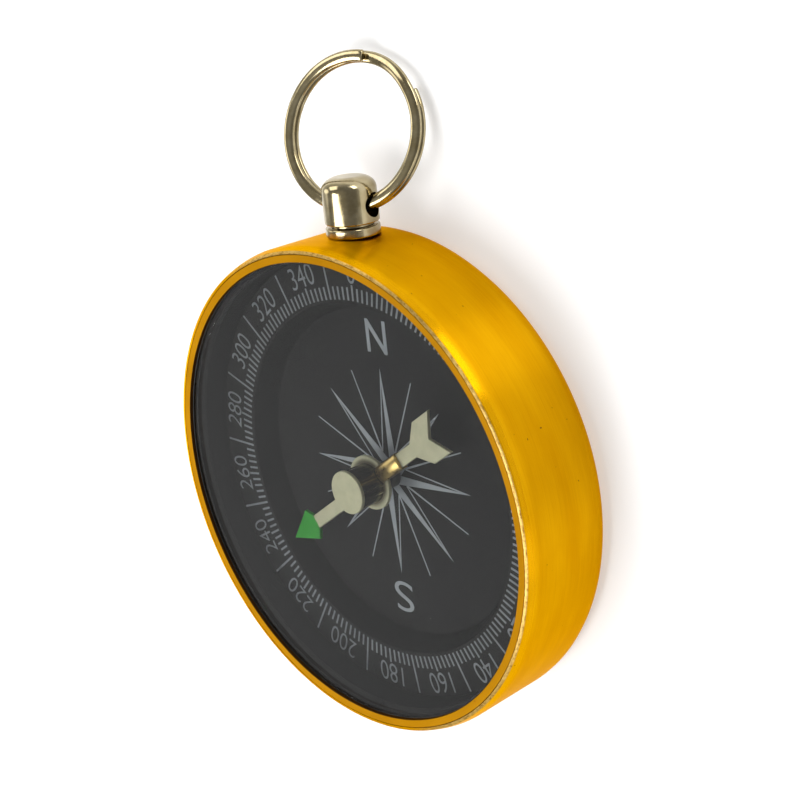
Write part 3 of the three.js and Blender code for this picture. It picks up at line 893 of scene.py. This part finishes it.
spacer = solid("spacer", turned([
    (SPACER_LEDGE_RADIUS, BACK_THICKNESS),
    (CASE_INNER_RADIUS - INNER_CORNER, BACK_THICKNESS),
    (GASKET_RADIUS, BACK_THICKNESS + INNER_CORNER),
    (GASKET_RADIUS, SPACER_TOP),
    (SPACER_BORE, SPACER_TOP),
    (SPACER_BORE, SCALE_UNDERSIDE),
    (SPACER_LEDGE_RADIUS, SCALE_UNDERSIDE),
], WIDE_SIDES, ring=True))
half_notch = WASHER_RADIUS + NOTCH_MARGIN
cut(spacer, block("notch", half_notch, 0, CASE_RADIUS, 0, BOW_LEVEL + half_notch))
piece(spacer, "case", "spacer", moulding, "spacer_ring")

boss = solid("pivot_seat", turned([
    (BOSS_BORE, BOSS_BOTTOM),
    (BOSS_FOOT_RADIUS, BOSS_BOTTOM),
    (BOSS_FOOT_RADIUS, DIAL_UNDERSIDE),
    (BOSS_SHANK_RADIUS, DIAL_UNDERSIDE),
    (BOSS_SHANK_RADIUS, DIAL_FLOOR_LEVEL),
    (BOSS_RADIUS, DIAL_FLOOR_LEVEL),
    (BOSS_RADIUS, BOSS_TOP, BOSS_ROUND),
    (BOSS_BORE, BOSS_TOP),
], SMALL_SIDES, ring=True))
piece(boss, "case", "brass", dull_brass, "pivot_boss")

pin = solid("pivot_point", turned([
    (0, BOSS_BOTTOM),
    (PIN_RADIUS, BOSS_BOTTOM, PIN_FOOT_ROUND),
    (PIN_RADIUS, PIN_TIP - PIN_POINT, PIN_SHOULDER_ROUND),
    (PIN_NOSE_RADIUS, PIN_TIP - PIN_NOSE_HEIGHT),
    (0, PIN_TIP),
], SMALL_SIDES))
piece(pin, "case", "steel", steel, "pivot_pin")


# Print on the dial
def star_print():
    """Eight points, each half filled, half drawn in outline, with a thin ray between each pair."""
    bm = bmesh.new()
    low = DIAL_FLOOR_LEVEL
    high = DIAL_FLOOR_LEVEL + PRINT_THICKNESS
    step = 360 / STAR_POINTS
    for i in range(STAR_POINTS):
        middle = i * step
        tip = Vector(bearing(STAR_RADIUS, middle))
        after = Vector(bearing(STAR_INNER_RADIUS, middle + step / 2))
        before = Vector(bearing(STAR_INNER_RADIUS, middle - step / 2))
        root = Vector(bearing(BOSS_RADIUS, middle))
        extrude_outline(bm, [root, tip, after], low, high)
        inside = (after - tip).normalized()
        along = (before - tip).normalized()
        inward = Vector((-along.y, along.x))
        if inward.dot(inside) < 0:
            inward = -inward
        width = STAR_LINE * inward
        back = STAR_LINE / math.tan(along.angle((root - tip).normalized()))
        extrude_outline(bm, [tip, before, before + width, tip + width + back * along], low, high)
        ray = middle + step / 2
        foot = Vector(bearing(STAR_INNER_RADIUS, ray))
        end = Vector(bearing(RAY_RADIUS, ray))
        side = Vector(bearing(RAY_WIDTH / 2, ray + 90))
        tip_side = RAY_TIP * side
        extrude_outline(bm, [foot - side, end - tip_side, end + tip_side, foot + side], low, high)
        extrude_outline(bm, [root, after, Vector(bearing(BOSS_RADIUS, middle + step))], low, high)
    return solid("dial_star", bm, smooth=False)


def add_text(bm, text, height, squeeze, stroke, radius, angle, level):
    """Adds words in the plain built-in face, centred at a bearing, their tops away from the dial's middle."""
    curve = bpy.data.curves.new("words", "FONT")
    curve.body = text
    curve.align_x = "CENTER"
    curve.extrude = PRINT_THICKNESS / 2
    curve.offset = stroke
    mesh = curve_mesh(curve)
    highs = [vert.co.y for vert in mesh.vertices]
    wides = [vert.co.x for vert in mesh.vertices]
    size = height / (max(highs) - min(highs))
    centre = Vector(((max(wides) + min(wides)) / 2, (max(highs) + min(highs)) / 2, 0))
    grow = Matrix.Diagonal((size * squeeze, size, 1, 1))
    there = Matrix.Translation((*bearing(radius, angle), level + PRINT_THICKNESS / 2))
    add_mesh(bm, mesh, there @ spin(-angle, "Z") @ grow @ Matrix.Translation(-centre))


def letter_print():
    """The letters of north and south."""
    bm = bmesh.new()
    for letter, angle, radius, squeeze, stroke in LETTERS:
        add_text(bm, letter, LETTER_HEIGHT, squeeze, stroke, radius, angle, DIAL_FLOOR_LEVEL)
    return solid("dial_letters", bm, smooth=False)


def scale_print():
    """A tick every two degrees, longer ones every ten, and numbers every twenty."""
    bm = bmesh.new()
    low = SCALE_LEVEL
    high = SCALE_LEVEL + PRINT_THICKNESS
    for i in range(TICK_COUNT):
        mark = i * 360 / TICK_COUNT
        angle = mark + SCALE_TURN
        end = TICK_END
        if mark % NUMBER_STEP == 0:
            end = MEDIUM_TICK_END
        elif mark % NUMBER_STEP == NUMBER_STEP / 2:
            end = LONG_TICK_END
        side = Vector(bearing(TICK_WIDTH / 2, angle + 90))
        foot = Vector(bearing(TICK_START, angle))
        tip = Vector(bearing(end, angle))
        extrude_outline(bm, [foot - side, tip - side, tip + side, foot + side], low, high)
    look = (NUMBER_HEIGHT, NUMBER_SQUEEZE, NUMBER_STROKE)
    for mark in range(0, 360, NUMBER_STEP):
        add_text(bm, str(mark), *look, NUMBER_RADIUS, mark + SCALE_TURN, SCALE_LEVEL)
    return solid("dial_scale", bm, smooth=False)


piece(star_print(), "case", "dial", ink)
piece(letter_print(), "case", "dial", ink)
piece(scale_print(), "case", "dial", scale_ink)

# Needle, drawn along its own X
arm_angle = math.degrees(math.asin(ARM_HALF_WIDTH / HUB_RADIUS))
blade_outline = [
    (ARROW_TIP, 0),
    (ARROW_BARB, ARROW_HALF_WIDTH),
    (ARROW_ROOT, ARM_HALF_WIDTH),
    *arc_points(HUB_RADIUS, arm_angle, 180 - arm_angle, HUB_STEPS),
    (-TAIL_ROOT, ARM_HALF_WIDTH),
    (-TAIL_SHOULDER, TAIL_HALF_WIDTH),
    (-TAIL_TIP, TAIL_HALF_WIDTH),
    (-TAIL_NOTCH, 0),
    (-TAIL_TIP, -TAIL_HALF_WIDTH),
    (-TAIL_SHOULDER, -TAIL_HALF_WIDTH),
    (-TAIL_ROOT, -ARM_HALF_WIDTH),
    *arc_points(HUB_RADIUS, 180 + arm_angle, 360 - arm_angle, HUB_STEPS),
    (ARROW_ROOT, -ARM_HALF_WIDTH),
    (ARROW_BARB, -ARROW_HALF_WIDTH),
]
hub_hole = arc_points(HUB_HOLE_RADIUS, 0, 360, 2 * HUB_STEPS)[:-1]
blade = plate("needle_plate", [blade_outline, hub_hole], BLADE_BOTTOM, BLADE_TOP, BLADE_ROUND, needle_turn)
piece(blade, "needle", "needle_paint", needle_paint, "needle_blade")

cap = solid("needle_hub", turned([
    (0, JEWEL_TOP),
    (CAP_BORE, JEWEL_TOP),
    (CAP_BORE, CAP_SPIGOT_BOTTOM),
    (CAP_SPIGOT_RADIUS, CAP_SPIGOT_BOTTOM),
    (CAP_SPIGOT_RADIUS, BLADE_TOP),
    (CAP_RADIUS, BLADE_TOP, CAP_ROUND),
    (CAP_RADIUS, CAP_TOP, CAP_ROUND),
    (0, CAP_TOP),
], SMALL_SIDES), needle_turn)
piece(cap, "needle", "dark_brass", dark_brass, "needle_cap")

disc = solid("hub_disc", turned([
    (0, CAP_TOP),
    (DISC_RADIUS, CAP_TOP),
    (DISC_RADIUS, DISC_TOP, DISC_ROUND),
    (0, DISC_TOP),
], SMALL_SIDES), needle_turn)
piece(disc, "needle", "needle_paint", needle_paint, "cap_disc")

jewel = solid("hub_jewel", turned([
    (0, JEWEL_BOTTOM + JEWEL_RECESS),
    (JEWEL_RADIUS, JEWEL_BOTTOM, JEWEL_ROUND),
    (JEWEL_RADIUS, JEWEL_TOP, JEWEL_ROUND),
    (0, JEWEL_TOP),
], SMALL_SIDES), needle_turn)
piece(jewel, "needle", "jewel", jewel_glass, "cap_jewel")


def balance_sleeve():
    """A round-backed sleeve on the tail arm with a tongue over the hub, drawn end on and laid along."""
    floor_level = -FIT - SLEEVE_FLOOR
    roof_level = BLADE_THICKNESS + FIT
    outline = [(-SLEEVE_HALF_WIDTH, floor_level), (SLEEVE_HALF_WIDTH, floor_level)]
    for i in range(SLEEVE_STEPS + 1):
        turn = math.pi * i / SLEEVE_STEPS
        outline.append((SLEEVE_HALF_WIDTH * math.cos(turn), roof_level + SLEEVE_CROWN * math.sin(turn)))
    bore = [
        (-SLEEVE_BORE_HALF_WIDTH, -FIT),
        (SLEEVE_BORE_HALF_WIDTH, -FIT),
        (SLEEVE_BORE_HALF_WIDTH, roof_level),
        (-SLEEVE_BORE_HALF_WIDTH, roof_level),
    ]
    lie = needle_turn @ millimetres(0, 0, BLADE_BOTTOM) @ spin(-90, "Z") @ spin(90, "X")
    made = plate("sleeve", [outline, bore], SLEEVE_START, SLEEVE_END, SLEEVE_ROUND, lie)
    reach = 2 * SLEEVE_HALF_WIDTH
    low = BLADE_BOTTOM + 2 * floor_level
    cut(made, block("room", SLEEVE_WRAP_START, -reach, reach, low, BLADE_BOTTOM + roof_level, needle_turn))
    return made


piece(balance_sleeve(), "needle", "brass", brass, "balance_sleeve")

# Bow
ferrule = solid("bow_collar", turned([
    (FERRULE_BORE, FERRULE_SLEEVE_END),
    (FERRULE_SLEEVE_RADIUS, FERRULE_SLEEVE_END),
    (FERRULE_SLEEVE_RADIUS, FERRULE_BOTTOM),
    (FERRULE_RADIUS, FERRULE_BOTTOM, FERRULE_ROUND),
    (FERRULE_RADIUS, FERRULE_TOP, FERRULE_ROUND),
    (FERRULE_BORE, FERRULE_TOP),
], SMALL_SIDES, ring=True), bow_place @ along_y)
piece(ferrule, "case", "nickel", nickel, "bow_ferrule")

dome = []
for i in range(KNOB_DOME_STEPS + 1):
    turn = math.pi / 2 * i / KNOB_DOME_STEPS
    dome_radius = KNOB_CROWN_RADIUS + (KNOB_RADIUS - KNOB_CROWN_RADIUS) * math.cos(turn)
    dome.append((dome_radius, KNOB_TOP - KNOB_DOME_HEIGHT * (1 - math.sin(turn))))
knob = solid("bow_knob", turned([
    (0, KNOB_BOTTOM),
    (KNOB_NECK_RADIUS, KNOB_BOTTOM),
    (KNOB_NECK_RADIUS, KNOB_BOTTOM + KNOB_NECK_HEIGHT),
    (KNOB_RADIUS, KNOB_BOTTOM + KNOB_NECK_HEIGHT, KNOB_FOOT_ROUND),
    *dome,
    (0, KNOB_TOP),
], SMALL_SIDES), knob_place @ along_y)
cross_hole = drill(CROSS_HOLE_RADIUS, 3 * KNOB_RADIUS, cross_hole_place @ spin(90, "Y"))
socket_place = knob_place @ millimetres(0, KNOB_BOTTOM, 0) @ along_y
cut(knob, cross_hole, drill(STEM_SOCKET_RADIUS, 2 * STEM_GRIP, socket_place))
piece(knob, "bow", "nickel", nickel, "bow_bush")

rivet = solid("bow_rivet", turned([
    (0, RIVET_BOTTOM),
    (RIVET_RADIUS, RIVET_BOTTOM, RIVET_ROUND),
    (RIVET_RADIUS, WASHER_BOTTOM),
    (STEM_RADIUS, WASHER_BOTTOM),
    (STEM_RADIUS, STEM_TOP, STEM_END_ROUND),
    (0, STEM_TOP),
], SMALL_SIDES), knob_place @ along_y)
piece(rivet, "bow", "nickel", nickel, "bow_screw")

washer = solid("bow_rivet_washer", turned([
    (STEM_SOCKET_RADIUS, WASHER_BOTTOM),
    (WASHER_RADIUS, WASHER_BOTTOM, WASHER_ROUND),
    (WASHER_RADIUS, WASHER_TOP, WASHER_ROUND),
    (STEM_SOCKET_RADIUS, WASHER_TOP),
], SMALL_SIDES, ring=True), knob_place @ along_y)
piece(washer, "bow", "nickel", nickel, "bow_washer")


# Split ring, wound about its own Z
def wire_section(shrink):
    """The wire's oval section, drawn in by shrink at the wire's ends."""
    half_width = WIRE_WIDTH / 2 - shrink
    half_thick = WIRE_THICKNESS / 2 - shrink
    section = []
    for i in range(WIRE_SIDES):
        turn = 2 * math.pi * i / WIRE_SIDES
        section.append((half_width * math.cos(turn), half_thick * math.sin(turn)))
    return section


def wire_stations(last):
    """Angles along the wire up to the last, each with how far the section is drawn in there."""
    nose_turn = math.degrees(WIRE_NOSE / RING_RADIUS)
    nose = []
    for i in range(WIRE_NOSE_STEPS):
        turn = math.pi / 2 * i / WIRE_NOSE_STEPS
        nose.append((nose_turn * (1 - math.cos(turn)), WIRE_NOSE * (1 - math.sin(turn))))
    stations = [(RING_START + reach, shrink) for reach, shrink in nose]
    run = last - RING_START - 2 * nose_turn
    count = round(run / RING_STEP)
    for i in range(count + 1):
        stations.append((RING_START + nose_turn + run * i / count, 0))
    stations.extend((last - reach, shrink) for reach, shrink in reversed(nose))
    return stations


def split_ring():
    """Two turns of oval wire that nearly touch, with one cross-over between them and rounded ends."""
    cross_end = RING_START + 360
    cross_start = cross_end - RING_CROSS
    last = cross_start + 360
    bm = bmesh.new()
    rows = []
    for angle, shrink in wire_stations(last):
        fall = min(max((angle - cross_start) / RING_CROSS, 0), 1)
        level = TURN_PITCH * (0.5 - fall * fall * (3 - 2 * fall))
        turn = math.radians(angle)
        row = []
        for across, up in wire_section(shrink):
            radius = RING_RADIUS + across
            row.append(bm.verts.new((radius * math.cos(turn), radius * math.sin(turn), level + up)))
        rows.append(row)
    for first, second in zip(rows, rows[1:]):
        for i, _ in enumerate(first):
            j = (i + 1) % len(first)
            bm.faces.new((first[i], first[j], second[j], second[i]))
    bm.faces.new(rows[0][::-1])
    bm.faces.new(rows[-1])
    made = solid("key_ring_wire", bm)
    made.data.transform(cross_hole_place @ spin(RING_TILT, "X") @ millimetres(0, RING_OFFSET, 0))
    return made


piece(split_ring(), "key_ring", "nickel", nickel, "split_ring")


# Floor, light and camera
def floor_finish():
    """Plain pale paper, white to the camera, in mirrors and through the window, that keeps the shadow."""
    material, tree, shader = finish(
        "white_floor", Base_Color=PAPER, Roughness=FLOOR_ROUGHNESS, Emission_Color=WHITE
    )
    path = node(tree, "ShaderNodeLightPath").outputs
    seen = math_node(tree, "MAXIMUM", path["Is Camera Ray"], path["Is Glossy Ray"])
    seen = math_node(tree, "MAXIMUM", seen, path["Is Transmission Ray"])
    link(tree, math_node(tree, "MULTIPLY", seen, FLOOR_GLOW), shader, "Emission Strength")
    return material


def floor_sheet():
    """A wide sheet just below the back of the case."""
    corners = ((-1, -1), (1, -1), (1, 1), (-1, 1))
    mesh = bpy.data.meshes.new("floor")
    mesh.from_pydata([(x * FLOOR_HALF, y * FLOOR_HALF, 0) for x, y in corners], [], [(0, 1, 2, 3)])
    mesh.materials.append(floor_finish())
    made = bpy.data.objects.new("floor", mesh)
    scene.collection.objects.link(made)
    made.location.z = -FLOOR_DROP
    return made


def height_ramp(tree, height, stops):
    """Grey levels by height above the horizon."""
    ramp = node(tree, "ShaderNodeValToRGB", {0: height})
    elements = ramp.color_ramp.elements
    while len(elements) < len(stops):
        elements.new(1.0)
    for element, (position, level) in zip(elements, stops):
        element.position = position
        element.color = (level, level, level, 1)
    return ramp.outputs[0]


def room():
    """A plain room, pale low down, dim on one side, with one bright opening high on the other."""
    world = bpy.data.worlds.new("room")
    world.use_nodes = True
    tree = world.node_tree
    way = node(tree, "ShaderNodeTexCoord").outputs["Generated"]
    height = node(tree, "ShaderNodeSeparateXYZ", {0: way}).outputs["Z"]
    pale = height_ramp(tree, height, PALE_WALL)
    dim = height_ramp(tree, height, DIM_WALL)
    wall = blend(tree, spread(tree, along_way(tree, way, DIM_SIDE), DIM_START, DIM_END), pale, dim)
    opening = spread(tree, along_way(tree, way, OPENING_SIDE), OPENING_START, OPENING_END)
    background = tree.nodes["Background"]
    link(tree, blend(tree, opening, wall, OPENING_GLOW), background, "Color")
    background.inputs["Strength"].default_value = 1
    scene.world = world


def lamp(name, place, width, height, watts):
    """A soft lamp that points at the compass, its place and size in metres."""
    light = bpy.data.lights.new(name, "AREA")
    light.shape = "RECTANGLE"
    light.size = width
    light.size_y = height
    light.energy = watts
    made = bpy.data.objects.new(name, light)
    scene.collection.objects.link(made)
    made.location = place
    made.rotation_euler = (-Vector(place)).to_track_quat("-Z", "Y").to_euler()


floor_sheet()
room()
lamp("overhead", place=(-0.13, -0.23, 0.595), width=0.45, height=0.45, watts=4.6)
lamp("upper", place=(-0.27, 0.4, 0.34), width=0.3, height=0.3, watts=0.8)
lamp("upper_side", place=(0.34, 0.49, 0.075), width=0.3, height=0.14, watts=0.8)
lamp("lower_side", place=(0.55, -0.24, 0.12), width=0.22, height=0.22, watts=0.2)

camera_data = bpy.data.cameras.new("camera")
camera_data.lens = CAMERA_LENS
camera_data.sensor_width = CAMERA_SENSOR
camera_data.sensor_fit = "HORIZONTAL"
camera_data.clip_start = CAMERA_CLIP * MM
camera = bpy.data.objects.new("camera", camera_data)
scene.collection.objects.link(camera)
camera.location = Vector(CAMERA_PLACE) * MM
camera.rotation_euler = Euler([math.radians(angle) for angle in CAMERA_TURN])
scene.camera = camera
scene.view_settings.view_transform = "Standard"
